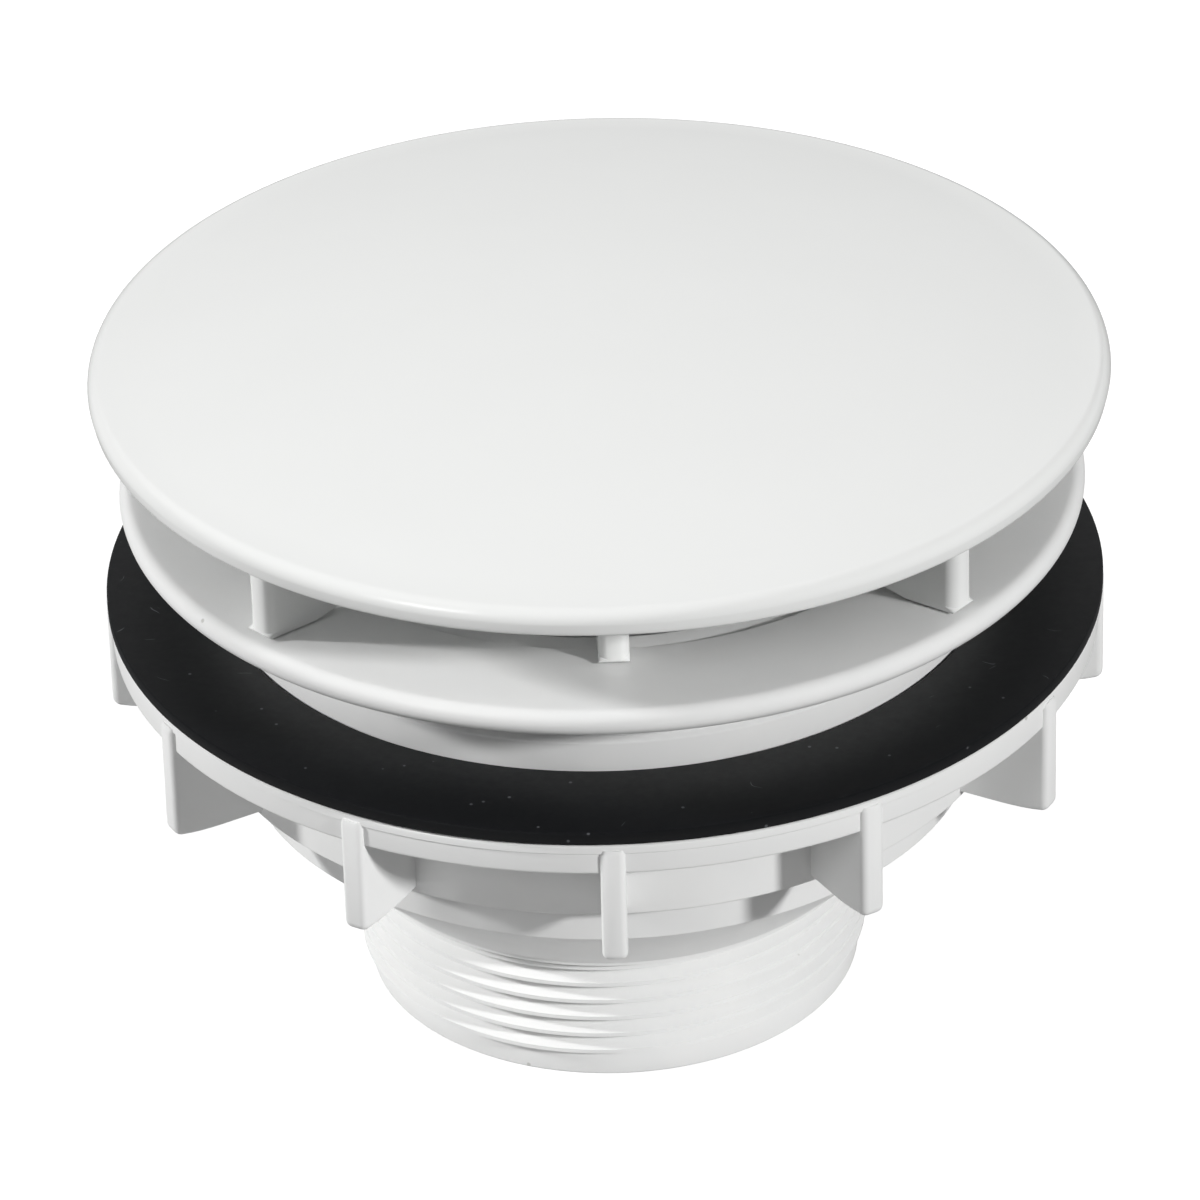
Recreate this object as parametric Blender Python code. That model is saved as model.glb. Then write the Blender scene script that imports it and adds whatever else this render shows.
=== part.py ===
"""Shower waste for a 90 mm tray hole, with a two inch threaded tail.

A mushroom cover stands on the dished flange of the waste body. Below the flange a round gasket
and a finned backnut close on the tray from underneath. The body's barrel has a coarse thread for
the backnut, and the tail a pipe thread for the trap.

Sizes are in millimetres and heights are above the tail's end face, which is the origin.
"""
import math

import bmesh
import bpy
from mathutils import Matrix

MM = 0.001
SEGMENTS = 48
CLEARANCE = 0.3
BURY = 0.6

# Tail
TAIL_THREAD_RADIUS = 29.8
TAIL_THREAD_DEPTH = 1.45
TAIL_THREAD_PITCH = 2.309
TAIL_THREAD_LAND = 0.35
TAIL_LENGTH = 16.4
TAIL_LEAD_LENGTH = 3.0
TAIL_LEAD_SETBACK = 0.9
TAIL_WALL = 2.55
TAIL_CHAMFER = 0.3

# Cone between the tail and the barrel
CONE_STEP = 1.2
CONE_STEP_HEIGHT = 0.5
CONE_HEIGHT = 10.8
FUNNEL_DROP = 0.2

# Barrel
BARREL_RADIUS = 44.2
BARREL_WALL = 4.6
BARREL_LENGTH = 33.5
BARREL_LEAD_IN = 6.0
BARREL_THREAD_DEPTH = 1.6
BARREL_THREAD_PITCH = 5.0
BARREL_THREAD_LAND = 1.2
BARREL_THREAD_FOOT = 2.7
COLLAR_HEIGHT = 4.7
NECK_HEIGHT = 6.0
NECK_INSET = 0.8

# Flange, dished on top, with a rounded rim and a sunk lip round its mouth
FLANGE_WIDTH = 11.0
FLANGE_THICKNESS = 2.3
FLANGE_EDGE_LIFT = 1.5
DISH_RISE = 0.7
RIM_RADIUS = 1.4
RIM_HEIGHT = 1.3
MOUTH_SETBACK = 5.9
MOUTH_SINK = 1.0
MOUTH_LIP_WIDTH = 4.2
MOUTH_LIP_THICKNESS = 2.2
MOUTH_ROUND = 0.5
SEAT_WIDTH = 6.0

# Gasket
GASKET_WIDTH = 12.8
GASKET_THICKNESS = 1.5
GASKET_EDGE = 0.25

# Backnut
BACKNUT_SETBACK = 0.4
BACKNUT_LIP = 0.15
BACKNUT_LIP_HEIGHT = 1.0
BACKNUT_FLANGE_HEIGHT = 3.8
BACKNUT_HEIGHT = 16.0
BACKNUT_HUB_WALL = 2.0
BACKNUT_FILLET = 0.8
BACKNUT_STOP_GAP = 0.8
BACKNUT_THREAD_LAND = 1.0
THREAD_CLEARANCE = 0.4
FIN_COUNT = 12
FIN_THICKNESS = 2.7
FIN_PROUD = 0.3
FIN_LIFT = 1.0
FIN_CORNER = 1.4

# Mushroom cover
COVER_OVERHANG = 2.8
COVER_RIM_HEIGHT = 4.9
COVER_RISE = 4.5
COVER_WALL = 2.6
COVER_GAP = 10.6
COVER_EDGE_ROUND = 1.0
COVER_TURN_DEG = 1.0
WEB_PAIRS = 2
WEB_THICKNESS = 3.2
WEB_ROUND = 1.2
WEB_FOOT_CORNER = 0.6
WEB_FOOT_LIFT = 1.0
LONG_WEB_SETBACK = 0.7
SHORT_WEB_SETBACK = 12.0
WEB_INNER_SETBACK = 16.0
LEG_LENGTH = 15.0
LEG_WIDTH = 5.2
LEG_CHAMFER = 1.4

# Heights and radii that follow from the sizes above
tail_root_radius = TAIL_THREAD_RADIUS - TAIL_THREAD_DEPTH
tail_lead_radius = TAIL_THREAD_RADIUS - TAIL_LEAD_SETBACK
tail_bore_radius = tail_root_radius - TAIL_WALL
cone_foot_radius = TAIL_THREAD_RADIUS + CONE_STEP
cone_foot_z = TAIL_LENGTH + CONE_STEP_HEIGHT
barrel_root_radius = BARREL_RADIUS - BARREL_THREAD_DEPTH
barrel_bore_radius = barrel_root_radius - BARREL_WALL
barrel_foot_z = cone_foot_z + CONE_HEIGHT
barrel_thread_z = barrel_foot_z + BARREL_LEAD_IN + BARREL_THREAD_FOOT / 2.0
flange_under_z = barrel_foot_z + BARREL_LENGTH
flange_radius = BARREL_RADIUS + FLANGE_WIDTH
neck_radius = BARREL_RADIUS - NECK_INSET
neck_foot_z = flange_under_z - NECK_HEIGHT
collar_foot_z = neck_foot_z - COLLAR_HEIGHT
rim_centre_radius = flange_radius - RIM_RADIUS
dish_outer_radius = rim_centre_radius - RIM_RADIUS * 0.6
dish_inner_z = flange_under_z + FLANGE_THICKNESS
dish_outer_z = dish_inner_z + DISH_RISE
rim_top_z = dish_outer_z + RIM_HEIGHT
mouth_radius = BARREL_RADIUS - MOUTH_SETBACK
lip_radius = mouth_radius - MOUTH_LIP_WIDTH
lip_z = dish_inner_z - MOUTH_SINK
nut_top_z = collar_foot_z - BACKNUT_STOP_GAP
nut_foot_z = nut_top_z - BACKNUT_HEIGHT
nut_bore_radius = BARREL_RADIUS + THREAD_CLEARANCE
nut_hub_radius = nut_bore_radius + BACKNUT_HUB_WALL
nut_thread_radius = barrel_root_radius + THREAD_CLEARANCE
gasket_foot_z = nut_top_z + CLEARANCE
gasket_top_z = gasket_foot_z + GASKET_THICKNESS
gasket_bore_radius = BARREL_RADIUS + THREAD_CLEARANCE
gasket_radius = gasket_bore_radius + GASKET_WIDTH
nut_flange_radius = gasket_radius - BACKNUT_SETBACK
fin_radius = nut_flange_radius + FIN_PROUD
cover_radius = flange_radius + COVER_OVERHANG
cover_foot_z = rim_top_z + COVER_GAP
cover_edge_z = cover_foot_z + COVER_RIM_HEIGHT
cover_sphere_radius = (cover_radius ** 2 + COVER_RISE ** 2) / (2.0 * COVER_RISE)
long_web_radius = flange_radius - LONG_WEB_SETBACK
short_web_radius = flange_radius - SHORT_WEB_SETBACK
leg_radius = lip_radius - THREAD_CLEARANCE
web_inner_radius = lip_radius - WEB_INNER_SETBACK


def clear_scene():
    for scene_object in list(bpy.data.objects):
        bpy.data.objects.remove(scene_object, do_unlink=True)


def make_material(name, colour, roughness, metallic=0.0):
    material = bpy.data.materials.new(name)
    material.use_nodes = True
    shader = material.node_tree.nodes["Principled BSDF"]
    shader.inputs["Base Color"].default_value = (*colour, 1.0)
    shader.inputs["Roughness"].default_value = roughness
    shader.inputs["Metallic"].default_value = metallic
    return material


def arc(centre_radius, centre_z, radius, start_deg, end_deg, steps):
    """Points of an arc in the radius and height plane, both ends included."""
    points = []
    for step in range(steps + 1):
        angle = math.radians(start_deg + (end_deg - start_deg) * step / steps)
        points.append((centre_radius + radius * math.cos(angle), centre_z + radius * math.sin(angle)))
    return points


def arch(inner_radius, outer_radius, foot_z, head_z, steps):
    """Points of a quarter ellipse that rises inwards, both ends included."""
    points = []
    for step in range(steps + 1):
        angle = math.pi / 2.0 * step / steps
        points.append((inner_radius + (outer_radius - inner_radius) * math.cos(angle),
                       foot_z + (head_z - foot_z) * math.sin(angle)))
    return points


def link_mesh(name, bm, material):
    """Make an object from a closed mesh, shaded smooth except at its real edges."""
    bmesh.ops.recalc_face_normals(bm, faces=bm.faces)
    mesh = bpy.data.meshes.new(name)
    bm.to_mesh(mesh)
    bm.free()
    mesh.shade_smooth()
    mesh.set_sharp_from_angle(angle=math.radians(30.0))
    mesh.materials.append(material)
    solid = bpy.data.objects.new(name, mesh)
    bpy.context.collection.objects.link(solid)
    return solid


def turned(name, outline, material):
    """Spin an outline round the part's axis. One that starts and ends on the axis is left open there."""
    bm = bmesh.new()
    points = [bm.verts.new((0.0, -radius * MM, z * MM)) for radius, z in outline]
    lines = [bm.edges.new(pair) for pair in zip(points, points[1:])]
    if outline[0][0] > 0.0:
        lines.append(bm.edges.new((points[-1], points[0])))
    bmesh.ops.spin(bm, geom=points + lines, cent=(0.0, 0.0, 0.0), axis=(0.0, 0.0, 1.0),
                   angle=2.0 * math.pi, steps=SEGMENTS, use_duplicate=False)
    bmesh.ops.remove_doubles(bm, verts=bm.verts, dist=1e-6)
    return link_mesh(name, bm, material)


def helical_ridge(name, root_radius, crest_radius, foot_width, land_width, pitch, front_z, turns, material):
    """One right-hand thread ridge, which sinks into the wall at both ends.

    The ridge stands outwards where its crest radius is the larger one, and inwards where it is the
    smaller. It passes the part's front, at -Y, at front_z, and turns gives the first and the last
    turn that it makes, counted from there.
    """
    side = 1.0 if crest_radius > root_radius else -1.0
    base_radius = root_radius - side * BURY
    sunk_radius = root_radius - side * BURY / 2.0
    run_out = SEGMENTS / 6.0
    first_step = round(turns[0] * SEGMENTS)
    last_step = round(turns[1] * SEGMENTS)
    bm = bmesh.new()
    rings = []
    for step in range(first_step, last_step + 1):
        share = max(0.0, min(1.0, (step - first_step) / run_out, (last_step - step) / run_out))
        radius = sunk_radius + (crest_radius - sunk_radius) * share
        angle = 2.0 * math.pi * (step + 0.5) / SEGMENTS
        centre_z = front_z + pitch * (step + 0.5) / SEGMENTS
        section = ((base_radius, -foot_width), (base_radius, foot_width), (radius, land_width), (radius, -land_width))
        rings.append([bm.verts.new((r * math.sin(angle) * MM, -r * math.cos(angle) * MM, (centre_z + w / 2.0) * MM))
                      for r, w in section])
    for ring, following in zip(rings, rings[1:]):
        for corner in range(4):
            nearby = (corner + 1) % 4
            bm.faces.new((ring[corner], ring[nearby], following[nearby], following[corner]))
    bm.faces.new(rings[0])
    bm.faces.new(rings[-1])
    return link_mesh(name, bm, material)


def plate(bm, outline, thickness, turn_deg, round_from, rounding):
    """Add an upright radial plate: its side outline as thick as given, with full edges rounded.

    The edges of the outline whose ends both lie further out than round_from are rounded.
    """
    corners = [bm.verts.new((-thickness / 2.0 * MM, -radius * MM, z * MM)) for radius, z in outline]
    face = bm.faces.new(corners)
    extruded = bmesh.ops.extrude_face_region(bm, geom=[face])
    far = [item for item in extruded["geom"] if isinstance(item, bmesh.types.BMVert)]
    bmesh.ops.translate(bm, verts=far, vec=(thickness * MM, 0.0, 0.0))
    edges = []
    for edge in {edge for vert in corners + far for edge in vert.link_edges}:
        along_side = abs(edge.verts[0].co.x - edge.verts[1].co.x) < 1e-7
        outer = all(-vert.co.y > round_from * MM for vert in edge.verts)
        if along_side and outer:
            edges.append(edge)
    bevelled = bmesh.ops.bevel(bm, geom=edges, offset=rounding * MM, segments=2, profile=0.5, affect="EDGES")
    verts = {vert for vert in corners + far + bevelled["verts"] if vert.is_valid}
    verts |= {vert for face in bevelled["faces"] for vert in face.verts}
    bmesh.ops.rotate(bm, verts=list(verts), cent=(0.0, 0.0, 0.0), matrix=Matrix.Rotation(math.radians(turn_deg), 3, "Z"))


def unite(target, tool):
    """Join a tool's solids to the target, so that both are one moulding."""
    tool.hide_render = True
    tool.display_type = "WIRE"
    modifier = target.modifiers.new(tool.name, "BOOLEAN")
    modifier.operation = "UNION"
    modifier.solver = "EXACT"
    modifier.object = tool


def body_outline():
    """Section of the waste body, from the tail's end up the outside and down the bore."""
    under = flange_under_z
    neck_round = 1.5
    seat_foot = neck_radius + neck_round
    outside = [
        (tail_bore_radius, 0.0),
        (tail_lead_radius - TAIL_CHAMFER, 0.0),
        (tail_lead_radius, TAIL_CHAMFER),
        (tail_lead_radius, TAIL_LEAD_LENGTH),
        (tail_root_radius, TAIL_LEAD_LENGTH + tail_lead_radius - tail_root_radius),
        (tail_root_radius, TAIL_LENGTH),
        (cone_foot_radius, TAIL_LENGTH),
        (cone_foot_radius, cone_foot_z),
        (barrel_root_radius, barrel_foot_z),
        (barrel_root_radius, collar_foot_z - BARREL_THREAD_DEPTH / 2.0),
        (BARREL_RADIUS, collar_foot_z),
        (BARREL_RADIUS, neck_foot_z - NECK_INSET / 2.0),
        (neck_radius, neck_foot_z),
    ]
    neck_fillet = arc(seat_foot, under - neck_round, neck_round, 180.0, 90.0, 2)
    seat = [
        (seat_foot + SEAT_WIDTH, under),
        (rim_centre_radius, rim_top_z - 2.0 * RIM_RADIUS),
    ]
    rim = arc(rim_centre_radius, rim_top_z - RIM_RADIUS, RIM_RADIUS, -60.0, 120.0, 5)
    dish = [(dish_outer_radius - 1.0, dish_outer_z)]
    mouth = arc(mouth_radius + MOUTH_ROUND, dish_inner_z - MOUTH_ROUND, MOUTH_ROUND, 90.0, 180.0, 2)
    lip = [
        (mouth_radius, lip_z),
        (lip_radius + MOUTH_ROUND, lip_z),
        (lip_radius, lip_z - MOUTH_ROUND),
        (lip_radius, lip_z - MOUTH_LIP_THICKNESS),
        (barrel_bore_radius, lip_z - MOUTH_LIP_THICKNESS - (barrel_bore_radius - lip_radius) / 2.0),
    ]
    bore = [
        (barrel_bore_radius, barrel_foot_z - FUNNEL_DROP),
        (tail_bore_radius, barrel_foot_z - FUNNEL_DROP - (barrel_bore_radius - tail_bore_radius)),
    ]
    return outside + neck_fillet + seat + rim + dish + mouth + lip + bore


def build_body(material):
    body = turned("waste_body", body_outline(), material)
    tail_front_z = TAIL_LEAD_LENGTH + TAIL_THREAD_PITCH * 0.56
    tail_turns = (-0.5, (TAIL_LENGTH + 0.3 - tail_front_z) / TAIL_THREAD_PITCH)
    tail_thread = helical_ridge(
        "tail_thread_tool", tail_root_radius, TAIL_THREAD_RADIUS, TAIL_THREAD_PITCH - TAIL_THREAD_LAND,
        TAIL_THREAD_LAND, TAIL_THREAD_PITCH, tail_front_z, tail_turns, material)
    barrel_turns = (0.0, (collar_foot_z - BARREL_THREAD_FOOT - barrel_thread_z) / BARREL_THREAD_PITCH)
    barrel_thread = helical_ridge(
        "barrel_thread_tool", barrel_root_radius, BARREL_RADIUS, BARREL_THREAD_FOOT, BARREL_THREAD_LAND,
        BARREL_THREAD_PITCH, barrel_thread_z, barrel_turns, material)
    unite(body, tail_thread)
    unite(body, barrel_thread)
    return body


def build_gasket(material):
    outline = [
        (gasket_bore_radius, gasket_foot_z),
        (gasket_radius - GASKET_EDGE, gasket_foot_z),
        (gasket_radius, gasket_foot_z + GASKET_EDGE),
        (gasket_radius, gasket_top_z - GASKET_EDGE),
        (gasket_radius - GASKET_EDGE, gasket_top_z),
        (gasket_bore_radius, gasket_top_z),
    ]
    return turned("gasket", outline, material)


def nut_outline():
    """Section of the backnut without its fins: a flat flange above a thin threaded hub."""
    flange_foot_z = nut_top_z - BACKNUT_FLANGE_HEIGHT
    lip_foot_z = nut_top_z - BACKNUT_LIP_HEIGHT
    edge_radius = nut_flange_radius + BACKNUT_LIP
    fillet = arc(nut_hub_radius + BACKNUT_FILLET, flange_foot_z - BACKNUT_FILLET, BACKNUT_FILLET, 90.0, 180.0, 3)
    return [
        (nut_bore_radius + 0.5, nut_top_z),
        (edge_radius - 0.3, nut_top_z),
        (edge_radius, nut_top_z - 0.3),
        (edge_radius, lip_foot_z + BACKNUT_LIP),
        (nut_flange_radius, lip_foot_z),
        (nut_flange_radius, flange_foot_z + 0.4),
        (nut_flange_radius - 0.4, flange_foot_z),
    ] + fillet + [
        (nut_hub_radius, nut_foot_z + 0.3),
        (nut_hub_radius - 0.3, nut_foot_z),
        (nut_bore_radius + 0.8, nut_foot_z),
        (nut_bore_radius, nut_foot_z + 0.8),
        (nut_bore_radius, nut_top_z - 0.5),
    ]


def fin_outline():
    """Side outline of one fin, from the hub wall out to its round corner and up into the flange."""
    inner = nut_hub_radius - BURY
    foot_z = nut_foot_z + FIN_LIFT
    corner = arc(fin_radius - FIN_CORNER, foot_z + FIN_CORNER, FIN_CORNER, -90.0, 0.0, 2)
    head_z = nut_top_z - CLEARANCE
    return [(inner, foot_z)] + corner + [(fin_radius, head_z), (inner, head_z)]


def build_backnut(material):
    nut = turned("backnut", nut_outline(), material)
    bm = bmesh.new()
    round_from = fin_radius - FIN_CORNER - 0.01
    for index in range(FIN_COUNT):
        plate(bm, fin_outline(), FIN_THICKNESS, 360.0 * index / FIN_COUNT, round_from, FIN_THICKNESS * 0.48)
    fins = link_mesh("fins_tool", bm, material)
    thread_z = barrel_thread_z + BARREL_THREAD_PITCH / 2.0
    thread_turns = ((nut_foot_z + BARREL_THREAD_FOOT / 2.0 - thread_z) / BARREL_THREAD_PITCH,
                    (nut_top_z - BARREL_THREAD_FOOT - thread_z) / BARREL_THREAD_PITCH)
    thread = helical_ridge(
        "nut_thread_tool", nut_bore_radius, nut_thread_radius, BARREL_THREAD_PITCH - BARREL_THREAD_FOOT,
        BACKNUT_THREAD_LAND, BARREL_THREAD_PITCH, thread_z, thread_turns, material)
    unite(nut, fins)
    unite(nut, thread)
    return nut


def dome_z(radius, drop=0.0):
    """Height of the cover's dome at a radius, or of a surface that lies below it by drop."""
    sphere = cover_sphere_radius - drop
    centre_z = cover_edge_z + COVER_RISE - cover_sphere_radius
    return centre_z + math.sqrt(sphere ** 2 - radius ** 2)


def cover_outline():
    """Section of the cover's disc, from the top of the dome round the rim to its underside."""
    rounding = COVER_EDGE_ROUND
    edge = cover_radius
    dome_edge = edge - rounding - 0.2
    top = [(dome_edge * step / 6.0, dome_z(dome_edge * step / 6.0)) for step in range(7)]
    shoulder_z = dome_z(dome_edge) - rounding
    rim = arc(edge - rounding, shoulder_z, rounding, 75.0, 0.0, 3)
    rim += [(edge - 0.1, cover_foot_z + 1.6)]
    rim += arc(edge - 0.5 - rounding, cover_foot_z + rounding, rounding, 0.0, -90.0, 3)
    inner_edge = edge - 3.6
    inside = [(inner_edge + 0.9, cover_foot_z), (inner_edge + 0.3, cover_foot_z + 0.6)]
    under = [(inner_edge * step / 4.0, dome_z(inner_edge * step / 4.0, COVER_WALL)) for step in range(4, -1, -1)]
    return top + rim + inside + under


def long_web_outline():
    """Side outline of a long web, whose foot rests on the flange's rim and clears the dish."""
    foot_z = rim_top_z + CLEARANCE
    inner_arch = arch(web_inner_radius, mouth_radius, foot_z + WEB_FOOT_LIFT, dome_z(web_inner_radius, COVER_WALL), 5)
    return [
        (long_web_radius, dome_z(long_web_radius, COVER_WALL / 2.0)),
        (long_web_radius, foot_z + WEB_FOOT_CORNER),
        (long_web_radius - WEB_FOOT_CORNER, foot_z),
    ] + inner_arch + [(web_inner_radius, dome_z(web_inner_radius, COVER_WALL / 2.0))]


def short_web_outline():
    """Side outline of a short web, which stands on the dish and goes on as a leg in the bore."""
    leg_inner = leg_radius - LEG_WIDTH
    leg_foot_z = lip_z - LEG_LENGTH
    foot_z = dish_inner_z + CLEARANCE
    inner_arch = arch(web_inner_radius, leg_inner, foot_z, dome_z(web_inner_radius, COVER_WALL), 5)
    return [
        (short_web_radius, dome_z(short_web_radius, COVER_WALL / 2.0)),
        (short_web_radius, foot_z + WEB_FOOT_CORNER),
        (short_web_radius - WEB_FOOT_CORNER, foot_z + DISH_RISE / 2.0),
        (mouth_radius, foot_z),
        (leg_radius, foot_z),
        (leg_radius, leg_foot_z + LEG_CHAMFER),
        (leg_radius - LEG_CHAMFER, leg_foot_z),
        (leg_inner + LEG_CHAMFER / 2.0, leg_foot_z),
        (leg_inner, leg_foot_z + LEG_CHAMFER / 2.0),
    ] + inner_arch + [(web_inner_radius, dome_z(web_inner_radius, COVER_WALL / 2.0))]


def build_cover(material):
    cover = turned("mushroom_cover", cover_outline(), material)
    bm = bmesh.new()
    spacing = 360.0 / (4 * WEB_PAIRS)
    for index in range(2 * WEB_PAIRS):
        turn = COVER_TURN_DEG + 2.0 * spacing * index
        plate(bm, short_web_outline(), WEB_THICKNESS, turn, short_web_radius - 0.01, WEB_ROUND)
        plate(bm, long_web_outline(), WEB_THICKNESS, turn + spacing, long_web_radius - 0.01, WEB_ROUND)
    webs = link_mesh("webs_tool", bm, material)
    unite(cover, webs)
    return cover


def main():
    clear_scene()
    white_plastic = make_material("white_plastic", (0.82, 0.83, 0.83), 0.32)
    gloss_cover = make_material("gloss_cover", (0.86, 0.87, 0.86), 0.18)
    black_rubber = make_material("black_rubber", (0.014, 0.015, 0.017), 0.62)
    build_body(white_plastic)
    build_gasket(black_rubber)
    build_backnut(white_plastic)
    build_cover(gloss_cover)


main()
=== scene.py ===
import math

import bmesh
import bpy
from mathutils import Matrix, Vector


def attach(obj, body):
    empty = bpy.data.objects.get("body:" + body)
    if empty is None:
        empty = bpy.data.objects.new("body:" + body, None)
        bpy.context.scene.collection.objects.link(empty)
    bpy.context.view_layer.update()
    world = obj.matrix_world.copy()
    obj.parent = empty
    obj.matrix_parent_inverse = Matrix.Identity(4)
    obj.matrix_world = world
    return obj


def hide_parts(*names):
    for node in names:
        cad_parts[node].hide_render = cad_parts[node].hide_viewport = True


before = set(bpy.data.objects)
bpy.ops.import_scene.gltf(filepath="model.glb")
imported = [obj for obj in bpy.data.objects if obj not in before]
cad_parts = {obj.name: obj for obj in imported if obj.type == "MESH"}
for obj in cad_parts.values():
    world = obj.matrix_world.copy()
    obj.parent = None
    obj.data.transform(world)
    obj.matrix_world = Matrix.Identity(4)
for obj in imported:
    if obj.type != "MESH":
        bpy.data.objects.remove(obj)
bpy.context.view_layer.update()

# Sizes are in millimetres, and heights are above the tail's end face.
MM = 0.001
AXIS = (0.0, 0.0, 0.0)
RING_CORNERS = 192
ARCH_STEPS = 12
SEAM_MERGE = 0.001
SMOOTH_ANGLE = 32.0

# How near, in metres, a corner must lie to the ring or the side that it is picked for
ON_RING = 2e-6
ON_SIDE = 1e-7

# Camera, fitted to the photograph: its place in metres, its turns in degrees
CAMERA_PLACE = (0.0, -0.7282, 0.4851)
CAMERA_PITCH = 31.055
CAMERA_YAW = -0.05
CAMERA_ROLL = -1.65
CAMERA_LENS = 220.46
CAMERA_SENSOR = 36.0
CAMERA_REACH = 20.0

# Mushroom cover: its dome, rolled rim and wall
COVER_RADIUS = 58.0
COVER_TOP = 84.6
COVER_EDGE = 79.6
COVER_FOOT = 76.7
COVER_WALL = 2.3
COVER_ROLL = 1.6
COVER_ROLL_FOOT = 78.2
COVER_RIM_WIDTH = 3.6
COVER_RIM_LEAN = 0.2
COVER_RIM_ROUND = 0.6
COVER_RIM_CHAMFER = 0.4
COVER_RISE = COVER_TOP - COVER_EDGE
COVER_SPHERE = (COVER_RADIUS ** 2 + COVER_RISE ** 2) / (2.0 * COVER_RISE)
COVER_TURN = 1.0
POLE_RADIUS = 4.0
DOME_RINGS = (POLE_RADIUS, 12.0, 20.0, 28.0, 36.0, 43.0, 48.0, 51.0, 53.0)
VAULT_RINGS = (49.0, 43.0, 36.0, 28.0, 20.0, 12.0, POLE_RADIUS)

# Webs and legs under the cover. A web's sides are rounded from WEB_EDGE inside its outer radius.
WEB_THICKNESS = 3.5
WEB_ROUNDING = 1.5
WEB_INNER = 18.1
WEB_SINK = 1.3
WEB_EDGE = 0.05
LONG_WEB = 53.0
LONG_WEB_CORNER = 0.5
LONG_WEB_GAP = 0.1
LONG_WEB_DISH_GAP = 0.2
WEB_SPREAD = 47.3
SHORT_WEB = 43.2
SHORT_WEB_CORNER = 0.6
SHORT_WEB_RISE = 1.3
SHORT_WEB_GAP = 0.15
LEG_OUTER = 33.7
LEG_WIDTH = 5.2
LEG_FOOT = 47.5
LEG_OUTER_CHAMFER = 1.4
LEG_INNER_CHAMFER = 0.7

# Flange and mouth
RIM_TOP = 65.3
BEAD_RADIUS = 52.6
BEAD_FALL = 0.1
DISH_EDGE = 64.7
DISH_EDGE_RADIUS = 46.0
DISH_MOUTH = 63.5
FLANGE_RADIUS = 55.2
FLANGE_UNDER = 61.2
FLANGE_FLAT_RADIUS = 50.9
FLANGE_SIDE_FOOT = 62.5
MOUTH_RADIUS = 38.3
LIP_RADIUS = 34.1
LIP_TOP = 62.5
LIP_FOOT = 60.3

# Barrel, cone and tail
BORE_RADIUS = 38.0
BORE_TOP = 58.35
FUNNEL_TOP = 27.5
FUNNEL_FOOT = 15.3
BARREL_ROOT = 42.6
BARREL_ROOT_TOP = 49.7
BARREL_RADIUS = 44.2
COLLAR_FOOT = 50.5
COLLAR_TOP = 54.8
NECK_RADIUS = 43.4
NECK_FOOT = 55.2
CONE_TOP = 27.7
CONE_STEP = 0.4
CONE_FOOT = 16.9
CONE_RADIUS = 31.0
TAIL_TOP = 16.4
TAIL_BORE = 25.8
TAIL_LEAD = 28.9
TAIL_LEAD_TOP = 3.0
TAIL_ROOT = 28.2
TAIL_ROOT_FOOT = 3.55

# The tail's pipe thread, 11 turns to the inch
TAIL_CREST = 29.8
TAIL_PITCH = 2.309
TAIL_RIDGE_FOOT = TAIL_PITCH * 1.15
TAIL_LAND = 0.5
TAIL_FRONT = 3.81
TAIL_SINK = 0.6
TAIL_FIRST_TURN = -0.3
TAIL_THREAD_TOP = 16.7

# Gasket and backnut. A fin's sides are rounded from FIN_EDGE inside its outer radius.
GASKET_FOOT = 50.0
GASKET_TOP = 51.5
GASKET_RADIUS = 57.4
NUT_TOP = 49.7
NUT_FOOT = 33.7
NUT_RADIUS = 57.0
NUT_UNDER = 45.9
NUT_LIP = 0.15
NUT_LIP_FOOT = 48.7
NUT_LIP_SLOPE = 0.15
HUB_RADIUS = 46.6
NUT_BORE = 44.6
NUT_LEAD = 0.8
NUT_CHAMFER = 0.5
FIN_RADIUS = 57.6
FIN_FOOT = 34.7
FIN_THICKNESS = 2.85
FIN_CORNER = 1.1
FIN_ROUNDING = 0.8
FIN_EDGE = 1.15
FIN_SINK = 0.6
FIN_SHOULDER = 1.2
FIN_SETBACK = 0.3
FIN_COUNT = 12

# Lamps: azimuth from the camera's side towards +X, elevation, strength and apparent width
RIGHT_LAMP = (51.0, 25.0, 2.6, 5.5)
LEFT_LAMP = (-93.0, 23.0, 2.7, 5.5)
FRONT_LAMP = (-40.0, 30.0, 0.5, 20.0)
LAMP_WARM = (1.0, 0.998, 0.995)
WHITE = (1.0, 1.0, 1.0)

# Floor: its width, the reach of its pale part, and where the painted fall-off of light grows to full
# grey, in metres
FLOOR_WIDTH = 8.0
FLOOR_PALE = 0.08
FLOOR_PAINTED_SHADE_REACH = 0.24

# A colour Mix node's inputs and output go by number
MIX_SHARE, MIX_FIRST, MIX_SECOND, MIX_RESULT = 0, 6, 7, 2


def take(piece, others=()):
    """Select a piece, and others with it, and make it the active one."""
    bpy.ops.object.select_all(action="DESELECT")
    for other in others:
        other.select_set(True)
    piece.select_set(True)
    bpy.context.view_layer.objects.active = piece


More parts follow.
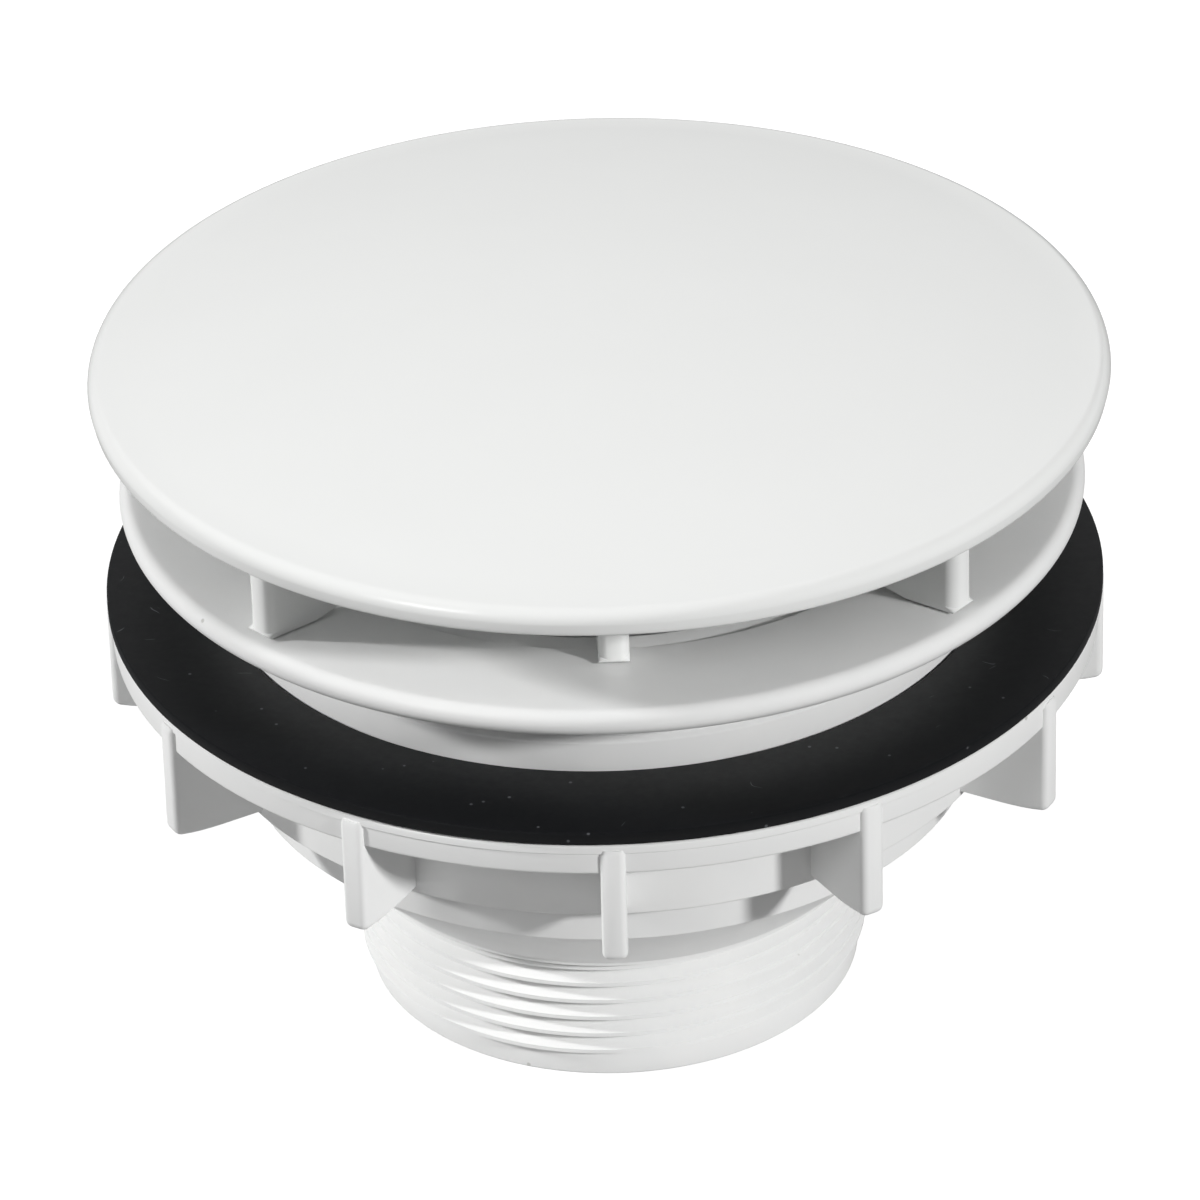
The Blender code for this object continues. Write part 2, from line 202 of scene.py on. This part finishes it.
def draw_section(name, section):
    """Lay a ring round the axis and extrude it along a section, staying in edit mode."""
    radius, height = section[0]
    bpy.ops.object.select_all(action="DESELECT")
    bpy.ops.mesh.primitive_circle_add(
        vertices=RING_CORNERS, radius=radius * MM, location=(0.0, 0.0, height * MM))
    piece = bpy.context.object
    piece.name = name
    piece.data.name = name
    bpy.ops.object.transform_apply(location=True, rotation=False, scale=False)
    bpy.ops.object.mode_set(mode="EDIT")
    bpy.ops.mesh.select_mode(type="EDGE")
    bpy.ops.mesh.select_all(action="SELECT")
    for next_radius, next_height in section[1:]:
        rise = (next_height - height) * MM
        bpy.ops.mesh.extrude_edges_move(TRANSFORM_OT_translate={"value": (0.0, 0.0, rise)})
        if next_radius != radius:
            factor = next_radius / radius
            centre = (0.0, 0.0, next_height * MM)
            bpy.ops.transform.resize(value=(factor, factor, 1.0), center_override=centre)
        radius, height = next_radius, next_height
    return piece


def pick_ring(piece, radius, height):
    """Select the edges whose corners lie on one ring."""
    bpy.ops.mesh.select_all(action="DESELECT")
    mesh = bmesh.from_edit_mesh(piece.data)
    for corner in mesh.verts:
        off_radius = abs(corner.co.xy.length - radius * MM)
        off_height = abs(corner.co.z - height * MM)
        corner.select_set(off_radius < ON_RING and off_height < ON_RING)
    mesh.select_flush(True)
    bmesh.update_edit_mesh(piece.data)


def turn_piece(name, rings):
    """Draw a piece from rings of radius and height, and round those that give a width and steps."""
    piece = draw_section(name, [ring[:2] for ring in rings])
    for radius, height, *rounding in rings:
        if rounding:
            width, steps = rounding
            pick_ring(piece, radius, height)
            bpy.ops.mesh.bevel(
                offset=width * MM, segments=steps, profile=0.5, affect="EDGES", clamp_overlap=False)
    return piece


def close_pole(piece, radius, height, tip):
    """Close a dome's open ring at a point on the axis."""
    pick_ring(piece, radius, height)
    rise = (tip - height) * MM
    bpy.ops.mesh.extrude_edges_move(TRANSFORM_OT_translate={"value": (0.0, 0.0, rise)})
    bpy.ops.mesh.merge(type="CENTER")


def close_up():
    """Merge the seams, turn the faces outwards and leave edit mode."""
    bpy.ops.mesh.select_all(action="SELECT")
    bpy.ops.mesh.remove_doubles(threshold=SEAM_MERGE * MM)
    bpy.ops.mesh.normals_make_consistent(inside=False)
    bpy.ops.object.mode_set(mode="OBJECT")


def join_and_smooth(piece, others=()):
    """Join others to a piece as one moulding, and shade all but its sharp edges smooth."""
    take(piece, others)
    if others:
        bpy.ops.object.join()
    bpy.ops.object.shade_smooth_by_angle(angle=math.radians(SMOOTH_ANGLE))


def draw_face(name, places):
    """Draw a flat face corner by corner, at places in metres, and stay in edit mode."""
    bpy.ops.object.select_all(action="DESELECT")
    bpy.ops.mesh.primitive_plane_add(size=MM, location=AXIS)
    piece = bpy.context.object
    piece.name = name
    bpy.ops.object.mode_set(mode="EDIT")
    bpy.ops.mesh.select_mode(type="VERT")
    bpy.ops.mesh.select_all(action="SELECT")
    bpy.ops.mesh.merge(type="CENTER")
    bpy.ops.transform.translate(value=places[0])
    for place, next_place in zip(places, places[1:]):
        step = Vector(next_place) - Vector(place)
        bpy.ops.mesh.extrude_vertices_move(TRANSFORM_OT_translate={"value": step})
    bpy.ops.mesh.select_all(action="SELECT")
    bpy.ops.mesh.edge_face_add()
    return piece


def plate(name, outline, thickness, rounding, round_from):
    """A flat upright plate in front of the axis, its sides' edges rounded outside one radius."""
    left = -thickness / 2.0 * MM
    piece = draw_face(name, [(left, -radius * MM, height * MM) for radius, height in outline])
    bpy.ops.mesh.extrude_region_move(TRANSFORM_OT_translate={"value": (thickness * MM, 0.0, 0.0)})
    bpy.ops.mesh.select_mode(type="EDGE")
    bpy.ops.mesh.select_all(action="DESELECT")
    mesh = bmesh.from_edit_mesh(piece.data)
    for edge in mesh.edges:
        one, other = (corner.co for corner in edge.verts)
        on_one_side = abs(one.x - other.x) < ON_SIDE
        outside = min(-one.y, -other.y) > round_from * MM
        edge.select_set(on_one_side and outside)
    bmesh.update_edit_mesh(piece.data)
    bpy.ops.mesh.bevel(offset=rounding * MM, segments=5, profile=0.5, affect="EDGES")
    close_up()
    return piece


def copy_turned(piece, turns):
    """Put copies of a piece, each turned and with its own mesh, in place of the piece itself."""
    copies = []
    for degrees in turns:
        take(piece)
        bpy.ops.object.duplicate(linked=False)
        copies.append(bpy.context.object)
        bpy.ops.object.mode_set(mode="EDIT")
        bpy.ops.mesh.select_all(action="SELECT")
        # With no window the operator turns the other way, so the angle is negative.
        bpy.ops.transform.rotate(value=-math.radians(degrees), orient_axis="Z", center_override=AXIS)
        bpy.ops.object.mode_set(mode="OBJECT")
    take(piece)
    bpy.ops.object.delete()
    return copies


def dome(radius, drop=0.0):
    """Height of the cover's dome at a radius, or of the underside that lies drop below it."""
    sphere = COVER_SPHERE - drop
    return COVER_TOP - COVER_SPHERE + math.sqrt(sphere ** 2 - radius ** 2)


def corner_arc(radius, height, width, start, end, steps=5):
    """Points round a corner, at a width from its centre and between two angles."""
    points = []
    for step in range(steps + 1):
        angle = math.radians(start + (end - start) * step / steps)
        points.append((radius + width * math.cos(angle), height + width * math.sin(angle)))
    return points


def arch(inner, outer, foot, head):
    """Points of a quarter ellipse that rises inwards."""
    points = []
    for step in range(ARCH_STEPS + 1):
        angle = math.pi / 2.0 * step / ARCH_STEPS
        radius = inner + (outer - inner) * math.cos(angle)
        points.append((radius, foot + (head - foot) * math.sin(angle)))
    return points


def make_long_web():
    """A web from the dome to the flange's rim, with an arch towards the mouth."""
    head = dome(WEB_INNER, COVER_WALL)
    foot = RIM_TOP + LONG_WEB_GAP + LONG_WEB_CORNER
    outline = [(LONG_WEB, dome(LONG_WEB, WEB_SINK)), (LONG_WEB, foot)]
    outline += corner_arc(LONG_WEB - LONG_WEB_CORNER, foot, LONG_WEB_CORNER, -15.0, -90.0, 3)
    outline += [(DISH_EDGE_RADIUS, DISH_EDGE + LONG_WEB_DISH_GAP)]
    outline += arch(WEB_INNER, MOUTH_RADIUS, foot, head)
    outline += [(WEB_INNER, head + WEB_SINK)]
    return plate("long_web", outline, WEB_THICKNESS, WEB_ROUNDING, LONG_WEB - WEB_EDGE)


def make_short_web():
    """A web from the dome to the dish, which goes on down into the bore as a leg."""
    head = dome(WEB_INNER, COVER_WALL)
    foot = DISH_MOUTH + SHORT_WEB_GAP
    corner = foot + SHORT_WEB_RISE
    leg_inner = LEG_OUTER - LEG_WIDTH
    outline = [(SHORT_WEB, dome(SHORT_WEB, WEB_SINK)), (SHORT_WEB, corner)]
    outline += corner_arc(SHORT_WEB - SHORT_WEB_CORNER, corner, SHORT_WEB_CORNER, -15.0, -80.0, 3)
    outline += [
        (MOUTH_RADIUS, foot),
        (LEG_OUTER, foot),
        (LEG_OUTER, LEG_FOOT + LEG_OUTER_CHAMFER),
        (LEG_OUTER - LEG_OUTER_CHAMFER, LEG_FOOT),
        (leg_inner + LEG_INNER_CHAMFER, LEG_FOOT),
        (leg_inner, LEG_FOOT + LEG_INNER_CHAMFER),
    ]
    outline += arch(WEB_INNER, leg_inner, foot, head)
    outline += [(WEB_INNER, head + WEB_SINK)]
    return plate("short_web", outline, WEB_THICKNESS, WEB_ROUNDING, SHORT_WEB - WEB_EDGE)


def make_cover():
    """The mushroom cover: a dome with a rolled rim, four long webs, and four short ones with legs."""
    roll_start = COVER_RADIUS - COVER_ROLL
    rim_inner = COVER_RADIUS - COVER_RIM_WIDTH
    rim_round = COVER_RADIUS - COVER_RIM_LEAN - COVER_RIM_ROUND
    rings = [(radius, dome(radius)) for radius in DOME_RINGS]
    rings += reversed(arch(roll_start, COVER_RADIUS, COVER_ROLL_FOOT, dome(roll_start)))
    rings += corner_arc(rim_round, COVER_FOOT + COVER_RIM_ROUND, COVER_RIM_ROUND, 0.0, -90.0)
    rings += [
        (rim_inner + COVER_RIM_CHAMFER, COVER_FOOT, 0.2, 3),
        (rim_inner, COVER_FOOT + COVER_RIM_CHAMFER),
    ]
    vault = (rim_inner - COVER_RIM_CHAMFER, *VAULT_RINGS)
    rings += [(radius, dome(radius, COVER_WALL)) for radius in vault]
    cover = turn_piece("dressed_cover", rings)
    close_pole(cover, POLE_RADIUS, dome(POLE_RADIUS), COVER_TOP)
    close_pole(cover, POLE_RADIUS, dome(POLE_RADIUS, COVER_WALL), COVER_TOP - COVER_WALL)
    close_up()
    short_turns = (0.0, 90.0, 180.0, 270.0)
    long_turns = (-WEB_SPREAD, WEB_SPREAD, 180.0 - WEB_SPREAD, 180.0 + WEB_SPREAD)
    webs = copy_turned(make_short_web(), [COVER_TURN + turn for turn in short_turns])
    webs += copy_turned(make_long_web(), [COVER_TURN + turn for turn in long_turns])
    join_and_smooth(cover, webs)
    return cover


def make_tail_thread():
    """The tail's thread, one ridge: its section is drawn where it starts and screwed up the axis."""
    last_turn = (TAIL_THREAD_TOP - TAIL_FRONT) / TAIL_PITCH
    turns = last_turn - TAIL_FIRST_TURN
    start = TAIL_FRONT + TAIL_PITCH * TAIL_FIRST_TURN
    angle = math.radians(360.0 * TAIL_FIRST_TURN - 90.0)
    section = [
        (TAIL_ROOT - TAIL_SINK, start - TAIL_RIDGE_FOOT / 2.0),
        (TAIL_CREST, start - TAIL_LAND / 2.0),
        (TAIL_CREST, start + TAIL_LAND / 2.0),
        (TAIL_ROOT - TAIL_SINK, start + TAIL_RIDGE_FOOT / 2.0),
    ]
    places = [(radius * MM * math.cos(angle), radius * MM * math.sin(angle), height * MM)
              for radius, height in section]
    ridge = draw_face("tail_thread", places)
    bpy.ops.object.mode_set(mode="OBJECT")
    bpy.ops.object.modifier_add(type="SCREW")
    screw = ridge.modifiers[-1]
    screw.angle = math.radians(360.0 * turns)
    screw.screw_offset = TAIL_PITCH * turns * MM
    screw.steps = int(RING_CORNERS * turns)
    screw.render_steps = screw.steps
    screw.use_merge_vertices = False
    bpy.ops.object.modifier_apply(modifier=screw.name)
    return ridge


def make_body():
    """The waste body: dished flange, neck, collar, barrel, cone and tail, open right through."""
    body = turn_piece("dressed_body", [
        (TAIL_BORE, 0.0),
        (TAIL_LEAD, 0.0, 0.3, 3),
        (TAIL_LEAD, TAIL_LEAD_TOP),
        (TAIL_ROOT, TAIL_ROOT_FOOT),
        (TAIL_ROOT, TAIL_TOP),
        (CONE_RADIUS, TAIL_TOP, 0.15, 2),
        (CONE_RADIUS, CONE_FOOT, 0.2, 2),
        (BARREL_ROOT - CONE_STEP, CONE_TOP),
        (BARREL_ROOT, CONE_TOP, 0.25, 3),
        (BARREL_ROOT, BARREL_ROOT_TOP),
        (BARREL_RADIUS, COLLAR_FOOT, 0.2, 2),
        (BARREL_RADIUS, COLLAR_TOP, 0.15, 2),
        (NECK_RADIUS, NECK_FOOT),
        (NECK_RADIUS, FLANGE_UNDER, 1.5, 5),
        (FLANGE_FLAT_RADIUS, FLANGE_UNDER, 0.6, 3),
        (FLANGE_RADIUS, FLANGE_SIDE_FOOT, 1.25, 7),
        (FLANGE_RADIUS, RIM_TOP, 1.45, 8),
        (BEAD_RADIUS, RIM_TOP - BEAD_FALL, 0.8, 4),
        (DISH_EDGE_RADIUS, DISH_EDGE, 3.0, 8),
        (MOUTH_RADIUS, DISH_MOUTH, 0.45, 4),
        (MOUTH_RADIUS, LIP_TOP),
        (LIP_RADIUS, LIP_TOP, 0.5, 4),
        (LIP_RADIUS, LIP_FOOT),
        (BORE_RADIUS, BORE_TOP),
        (BORE_RADIUS, FUNNEL_TOP),
        (TAIL_BORE, FUNNEL_FOOT),
        (TAIL_BORE, 0.0),
    ])
    close_up()
    join_and_smooth(body, [make_tail_thread()])
    return body


def make_gasket():
    """The gasket: a flat ring with soft cut edges."""
    gasket = turn_piece("dressed_gasket", [
        (NUT_BORE, GASKET_FOOT),
        (GASKET_RADIUS, GASKET_FOOT, 0.15, 2),
        (GASKET_RADIUS, GASKET_TOP, 0.18, 3),
        (NUT_BORE, GASKET_TOP, 0.12, 2),
        (NUT_BORE, GASKET_FOOT),
    ])
    close_up()
    join_and_smooth(gasket)
    return gasket


def make_nut():
    """The backnut: a flanged ring over a thin hub, with upright fins round it."""
    lip_radius = NUT_RADIUS + NUT_LIP
    nut = turn_piece("dressed_nut", [
        (NUT_BORE, NUT_FOOT + NUT_LEAD),
        (NUT_BORE + NUT_LEAD, NUT_FOOT),
        (HUB_RADIUS, NUT_FOOT, 0.35, 3),
        (HUB_RADIUS, NUT_UNDER, 0.9, 4),
        (NUT_RADIUS, NUT_UNDER, 0.45, 4),
        (NUT_RADIUS, NUT_LIP_FOOT - NUT_LIP_SLOPE),
        (lip_radius, NUT_LIP_FOOT),
        (lip_radius, NUT_TOP, 0.3, 3),
        (NUT_BORE + NUT_CHAMFER, NUT_TOP),
        (NUT_BORE, NUT_TOP - NUT_CHAMFER),
        (NUT_BORE, NUT_FOOT + NUT_LEAD),
    ])
    close_up()
    root = HUB_RADIUS - FIN_SINK
    head = NUT_TOP - FIN_SINK
    outline = [(root, FIN_FOOT)]
    outline += corner_arc(FIN_RADIUS - FIN_CORNER, FIN_FOOT + FIN_CORNER, FIN_CORNER, -90.0, 0.0)
    outline += [(FIN_RADIUS, NUT_TOP - FIN_SHOULDER), (FIN_RADIUS - FIN_SETBACK, head), (root, head)]
    fin = plate("fin", outline, FIN_THICKNESS, FIN_ROUNDING, FIN_RADIUS - FIN_EDGE)
    fins = copy_turned(fin, [360.0 * index / FIN_COUNT for index in range(FIN_COUNT)])
    join_and_smooth(nut, fins)
    return nut


def linear(hex_colour):
    """An sRGB hex colour as linear values."""
    values = [int(hex_colour[start:start + 2], 16) / 255.0 for start in (1, 3, 5)]
    values = [value / 12.92 if value <= 0.04045 else ((value + 0.055) / 1.055) ** 2.4
              for value in values]
    return (*values, 1.0)


def per_metre(size):
    """The Scale of a pattern whose patches are a size in millimetres across."""
    return 1.0 / (size * MM)


def add_node(tree, kind, settings=None, inputs=None, links=None):
    """Add a node with its settings, its input values and the links that feed it."""
    node = tree.nodes.new(kind)
    for key, value in (settings or {}).items():
        setattr(node, key, value)
    for key, value in (inputs or {}).items():
        node.inputs[key].default_value = value
    for key, source in (links or {}).items():
        tree.links.new(source, node.inputs[key])
    return node


def new_finish(name):
    """An empty material, with its nodes and the place on the piece that its patterns read."""
    finish = bpy.data.materials.new(name)
    finish.use_nodes = True
    tree = finish.node_tree
    tree.nodes.clear()
    place = add_node(tree, "ShaderNodeTexCoord")
    return finish, tree, place.outputs["Object"]


def moulded_polypropylene():
    """White injection-moulded polypropylene: satin and faintly waxy, with sinks and a few specks."""
    finish, tree, place = new_finish("moulded_polypropylene")
    # Shade and sheen drift over patches of about 8 mm, where the melt cooled unevenly.
    cloud = add_node(
        tree, "ShaderNodeTexNoise",
        inputs={"Scale": per_metre(8.3333), "Detail": 3.0, "Roughness": 0.55},
        links={"Vector": place})
    tint = add_node(
        tree, "ShaderNodeMix", {"data_type": "RGBA"},
        {MIX_FIRST: linear("#ececeb"), MIX_SECOND: linear("#e6e7e7")},
        {MIX_SHARE: cloud.outputs["Fac"]})
    # Points of dirt lie 11 mm apart through the plastic. One near the surface shows as a speck
    # about half a millimetre across.
    grit = add_node(
        tree, "ShaderNodeTexVoronoi",
        inputs={"Scale": per_metre(11.1111), "Randomness": 1.0}, links={"Vector": place})
    speck = add_node(
        tree, "ShaderNodeMapRange",
        inputs={"From Min": 0.030, "From Max": 0.018, "To Min": 0.0, "To Max": 0.5},
        links={"Value": grit.outputs["Distance"]})
    colour = add_node(
        tree, "ShaderNodeMix", {"data_type": "RGBA"}, {MIX_SECOND: linear("#9b9a93")},
        {MIX_SHARE: speck.outputs["Result"], MIX_FIRST: tint.outputs[MIX_RESULT]})
    # The mould's fine texture is drawn coarser than the real one, so that it shows. Sinks lie
    # 6 mm apart.
    skin = add_node(
        tree, "ShaderNodeTexNoise",
        inputs={"Scale": per_metre(0.384615), "Detail": 2.0}, links={"Vector": place})
    sink = add_node(
        tree, "ShaderNodeTexNoise",
        inputs={"Scale": per_metre(5.88235), "Detail": 1.0}, links={"Vector": place})
    fine = add_node(
        tree, "ShaderNodeBump",
        inputs={"Strength": 0.12, "Distance": 0.06 * MM}, links={"Height": skin.outputs["Fac"]})
    broad = add_node(
        tree, "ShaderNodeBump",
        inputs={"Strength": 0.25, "Distance": 0.3 * MM},
        links={"Height": sink.outputs["Fac"], "Normal": fine.outputs["Normal"]})
    sheen = add_node(
        tree, "ShaderNodeMapRange",
        inputs={"To Min": 0.34, "To Max": 0.46}, links={"Value": cloud.outputs["Fac"]})
    shader = add_node(
        tree, "ShaderNodeBsdfPrincipled", inputs={"IOR": 1.49},
        links={"Base Color": colour.outputs[MIX_RESULT], "Roughness": sheen.outputs["Result"],
               "Normal": broad.outputs["Normal"]})
    add_node(tree, "ShaderNodeOutputMaterial", links={"Surface": shader.outputs["BSDF"]})
    return finish


def polished_cover_plastic():
    """White plastic moulded in a polished tool: even and glossy, with faint waves in its gloss."""
    finish, tree, place = new_finish("polished_cover_plastic")
    # Shade and sheen drift over patches of about 17 mm, and the waves lie 11 mm apart.
    cloud = add_node(
        tree, "ShaderNodeTexNoise",
        inputs={"Scale": per_metre(16.6667), "Detail": 2.0}, links={"Vector": place})
    tint = add_node(
        tree, "ShaderNodeMix", {"data_type": "RGBA"},
        {MIX_FIRST: linear("#edeeed"), MIX_SECOND: linear("#ebeceb")},
        {MIX_SHARE: cloud.outputs["Fac"]})
    sink = add_node(
        tree, "ShaderNodeTexNoise",
        inputs={"Scale": per_metre(11.1111), "Detail": 1.0}, links={"Vector": place})
    broad = add_node(
        tree, "ShaderNodeBump",
        inputs={"Strength": 0.12, "Distance": 0.3 * MM}, links={"Height": sink.outputs["Fac"]})
    sheen = add_node(
        tree, "ShaderNodeMapRange",
        inputs={"To Min": 0.16, "To Max": 0.24}, links={"Value": cloud.outputs["Fac"]})
    shader = add_node(
        tree, "ShaderNodeBsdfPrincipled", inputs={"IOR": 1.5},
        links={"Base Color": tint.outputs[MIX_RESULT], "Roughness": sheen.outputs["Result"],
               "Normal": broad.outputs["Normal"]})
    add_node(tree, "ShaderNodeOutputMaterial", links={"Surface": shader.outputs["BSDF"]})
    return finish


def cut_rubber():
    """Black rubber cut from sheet: matt, with pale dust and short lint lying on it."""
    finish, tree, place = new_finish("cut_rubber")
    # The sheet's grain is about a millimetre, drawn coarser than the real one so that it shows.
    grain = add_node(
        tree, "ShaderNodeTexNoise",
        inputs={"Scale": per_metre(1.11111), "Detail": 4.0, "Roughness": 0.6},
        links={"Vector": place})
    tint = add_node(
        tree, "ShaderNodeMix", {"data_type": "RGBA"},
        {MIX_FIRST: linear("#0e0f11"), MIX_SECOND: linear("#151618")},
        {MIX_SHARE: grain.outputs["Fac"]})
    # Lint: thin lines where a noise crosses its middle, kept inside spots 2 mm across
    warp = add_node(
        tree, "ShaderNodeTexNoise",
        inputs={"Scale": per_metre(2.38095), "Detail": 0.0}, links={"Vector": place})
    line = add_node(
        tree, "ShaderNodeMath", {"operation": "SUBTRACT"}, {1: 0.5}, {0: warp.outputs["Fac"]})
    near = add_node(tree, "ShaderNodeMath", {"operation": "ABSOLUTE"}, links={0: line.outputs[0]})
    strand = add_node(
        tree, "ShaderNodeMapRange",
        inputs={"From Min": 0.012, "From Max": 0.003}, links={"Value": near.outputs[0]})
    patch = add_node(
        tree, "ShaderNodeTexVoronoi", inputs={"Scale": per_metre(6.66667)}, links={"Vector": place})
    short = add_node(
        tree, "ShaderNodeMapRange",
        inputs={"From Min": 0.16, "From Max": 0.10}, links={"Value": patch.outputs["Distance"]})
    lint = add_node(
        tree, "ShaderNodeMath", {"operation": "MULTIPLY"},
        links={0: strand.outputs["Result"], 1: short.outputs["Result"]})
    # Dust: points 3 mm apart, which show where they lie near the surface
    dots = add_node(
        tree, "ShaderNodeTexVoronoi", inputs={"Scale": per_metre(3.0303)}, links={"Vector": place})
    dust = add_node(
        tree, "ShaderNodeMapRange",
        inputs={"From Min": 0.075, "From Max": 0.045, "To Max": 0.8},
        links={"Value": dots.outputs["Distance"]})
    both = add_node(
        tree, "ShaderNodeMath", {"operation": "MAXIMUM"},
        links={0: lint.outputs[0], 1: dust.outputs["Result"]})
    pale = add_node(
        tree, "ShaderNodeMath", {"operation": "MULTIPLY"}, {1: 0.4}, {0: both.outputs[0]})
    colour = add_node(
        tree, "ShaderNodeMix", {"data_type": "RGBA"}, {MIX_SECOND: linear("#8c8e92")},
        {MIX_SHARE: pale.outputs[0], MIX_FIRST: tint.outputs[MIX_RESULT]})
    rough = add_node(
        tree, "ShaderNodeMapRange",
        inputs={"To Min": 0.5, "To Max": 0.66}, links={"Value": grain.outputs["Fac"]})
    bump = add_node(
        tree, "ShaderNodeBump",
        inputs={"Strength": 0.25, "Distance": 0.08 * MM}, links={"Height": grain.outputs["Fac"]})
    shader = add_node(
        tree, "ShaderNodeBsdfPrincipled", inputs={"IOR": 1.5, "Specular IOR Level": 0.32},
        links={"Base Color": colour.outputs[MIX_RESULT], "Roughness": rough.outputs["Result"],
               "Normal": bump.outputs["Normal"]})
    add_node(tree, "ShaderNodeOutputMaterial", links={"Surface": shader.outputs["BSDF"]})
    return finish


def place_camera():
    """The camera, at the photograph's viewing angle."""
    lens = bpy.data.cameras.new("photo_camera")
    lens.lens = CAMERA_LENS
    lens.sensor_width = CAMERA_SENSOR
    lens.clip_end = CAMERA_REACH
    camera = bpy.data.objects.new("photo_camera", lens)
    bpy.context.scene.collection.objects.link(camera)
    aim = Matrix.Rotation(math.radians(-CAMERA_YAW), 4, "Z")
    aim = aim @ Matrix.Rotation(math.radians(90.0 - CAMERA_PITCH), 4, "X")
    aim = aim @ Matrix.Rotation(math.radians(CAMERA_ROLL), 4, "Z")
    camera.matrix_world = Matrix.Translation(CAMERA_PLACE) @ aim
    bpy.context.scene.camera = camera


def add_lamp(name, setting, colour, seen_in_gloss):
    """A distant studio lamp. One that isn't seen in gloss lights the plastic without a glare."""
    azimuth, elevation, strength, width = setting
    data = bpy.data.lights.new(name, "SUN")
    data.energy = strength
    data.angle = math.radians(width)
    data.color = colour
    lamp = bpy.data.objects.new(name, data)
    bpy.context.scene.collection.objects.link(lamp)
    turn, rise = math.radians(azimuth), math.radians(elevation)
    level = math.cos(rise)
    place = Vector((level * math.sin(turn), -level * math.cos(turn), math.sin(rise)))
    lamp.rotation_euler = (-place).to_track_quat("-Z", "Y").to_euler()
    lamp.location = place
    lamp.visible_glossy = seen_in_gloss


def light_room():
    """A dim pale room, brighter overhead and behind the object. The camera sees plain white."""
    world = bpy.data.worlds.new("pale_room")
    bpy.context.scene.world = world
    world.use_nodes = True
    tree = world.node_tree
    tree.nodes.clear()
    place = add_node(tree, "ShaderNodeTexCoord")
    split = add_node(tree, "ShaderNodeSeparateXYZ", links={"Vector": place.outputs["Generated"]})
    overhead = add_node(
        tree, "ShaderNodeMapRange",
        inputs={"To Min": 0.04, "To Max": 0.2}, links={"Value": split.outputs["Z"]})
    backdrop = add_node(
        tree, "ShaderNodeMapRange",
        inputs={"From Min": 0.2, "From Max": 0.7, "To Max": 0.45},
        links={"Value": split.outputs["Y"]})
    level = add_node(
        tree, "ShaderNodeMath", {"operation": "ADD"},
        links={0: overhead.outputs["Result"], 1: backdrop.outputs["Result"]})
    room = add_node(
        tree, "ShaderNodeBackground",
        inputs={"Color": linear("#fbfbfb")}, links={"Strength": level.outputs[0]})
    white = add_node(tree, "ShaderNodeBackground", inputs={"Color": linear("#ffffff"), "Strength": 1.0})
    ray = add_node(tree, "ShaderNodeLightPath")
    seen = add_node(
        tree, "ShaderNodeMixShader",
        links={0: ray.outputs["Is Camera Ray"], 1: room.outputs[0], 2: white.outputs[0]})
    add_node(tree, "ShaderNodeOutputWorld", links={"Surface": seen.outputs[0]})


def lay_floor():
    """A pale floor in a painted pool of light: painted grey further out, so less light bounces from
    there. The camera sees it near white, with the shadow.
    """
    bpy.ops.object.select_all(action="DESELECT")
    bpy.ops.mesh.primitive_plane_add(size=FLOOR_WIDTH, location=AXIS)
    floor = bpy.context.object
    floor.name = "floor"
    finish, tree, place = new_finish("white_floor")
    reach = add_node(tree, "ShaderNodeVectorMath", {"operation": "LENGTH"}, links={0: place})
    far = add_node(
        tree, "ShaderNodeMapRange",
        inputs={"From Min": FLOOR_PALE, "From Max": FLOOR_PAINTED_SHADE_REACH},
        links={"Value": reach.outputs["Value"]})
    # Painted pool of light: the floor's colour is painted grey away from the object, so less light
    # bounces from further out.
    painted_light_pool = add_node(
        tree, "ShaderNodeMix", {"data_type": "RGBA"},
        {MIX_FIRST: linear("#b4b4b4"), MIX_SECOND: linear("#5a5a5a")},
        {MIX_SHARE: far.outputs["Result"]})
    paint = add_node(tree, "ShaderNodeBsdfDiffuse", links={"Color": painted_light_pool.outputs[MIX_RESULT]})
    glow = add_node(tree, "ShaderNodeEmission", inputs={"Color": linear("#ffffff"), "Strength": 0.85})
    thin = add_node(tree, "ShaderNodeBsdfDiffuse", inputs={"Color": linear("#959595")})
    pale = add_node(tree, "ShaderNodeAddShader", links={0: glow.outputs[0], 1: thin.outputs[0]})
    ray = add_node(tree, "ShaderNodeLightPath")
    seen = add_node(
        tree, "ShaderNodeMixShader",
        links={0: ray.outputs["Is Camera Ray"], 1: paint.outputs[0], 2: pale.outputs[0]})
    add_node(tree, "ShaderNodeOutputMaterial", links={"Surface": seen.outputs[0]})
    floor.data.materials.append(finish)


def dress(piece, node, body, finish):
    """Give a piece its finish, and let it stand for its node on its body."""
    piece.data.materials.clear()
    piece.data.materials.append(finish)
    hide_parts(node)
    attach(piece, body)


polypropylene = moulded_polypropylene()
dress(make_body(), "waste_body", "body", polypropylene)
dress(make_cover(), "mushroom_cover", "cover", polished_cover_plastic())
dress(make_gasket(), "gasket", "seal", cut_rubber())
dress(make_nut(), "backnut", "nut", polypropylene)
place_camera()
add_lamp("right_lamp", RIGHT_LAMP, LAMP_WARM, seen_in_gloss=False)
add_lamp("left_lamp", LEFT_LAMP, LAMP_WARM, seen_in_gloss=False)
add_lamp("front_lamp", FRONT_LAMP, WHITE, seen_in_gloss=True)
light_room()
lay_floor()

bpy.context.scene.view_settings.view_transform = "Standard"
